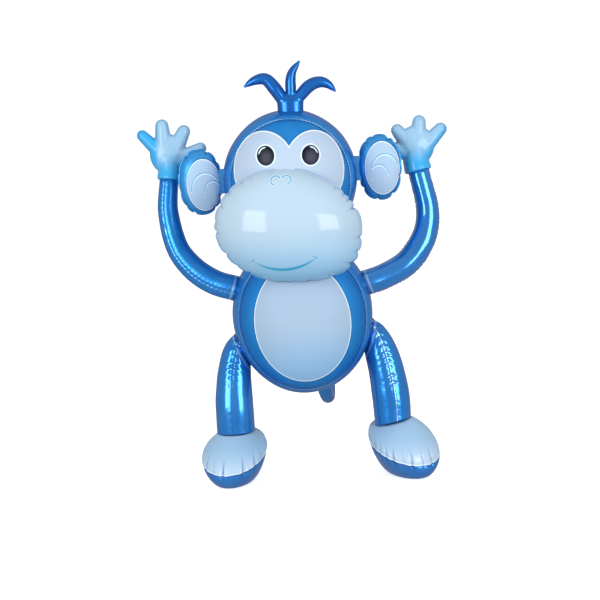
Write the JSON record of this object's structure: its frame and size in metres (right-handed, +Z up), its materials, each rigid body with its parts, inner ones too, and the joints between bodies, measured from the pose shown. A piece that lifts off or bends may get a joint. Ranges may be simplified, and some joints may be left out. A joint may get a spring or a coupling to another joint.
{
  "type": "inflatable monkey",
  "caption": "Glossy blue inflatable toy monkey that stands on its feet with both hands raised, with a pale puffy muzzle, round ears and a curly tuft.",
  "frame": {"origin": "middle of the bounding box's underside, on the floor that the feet stand on", "axes": "+Z up from the soles to the tuft, -Y the way the face looks, +X the monkey's own left side"},
  "size_m": [0.4542, 0.321, 0.6107],
  "materials": {
    "blue_film": "pearly blue vinyl film, glossy",
    "pale_film": "pale blue vinyl film, glossy",
    "ear_film": "blue vinyl film with a pale printed oval, glossy",
    "hand_film": "vinyl film that fades from pale blue to cyan, glossy",
    "foot_film": "pale blue upper film on a dark blue sole film, glossy",
    "clear_vinyl": "soft translucent vinyl"
  },
  "bodies": {
    "root": {"torso": "blue_film", "head": "blue_film", "muzzle": "pale_film", "ear_left": "ear_film", "ear_right": "ear_film", "tuft": "blue_film", "arm_left": "blue_film", "arm_right": "blue_film", "hand_left": "hand_film", "hand_right": "hand_film", "leg_left": "blue_film", "leg_right": "blue_film", "foot_left": "foot_film", "foot_right": "foot_film", "tail": "blue_film", "valve": "clear_vinyl"}
  },
  "joints": []
}
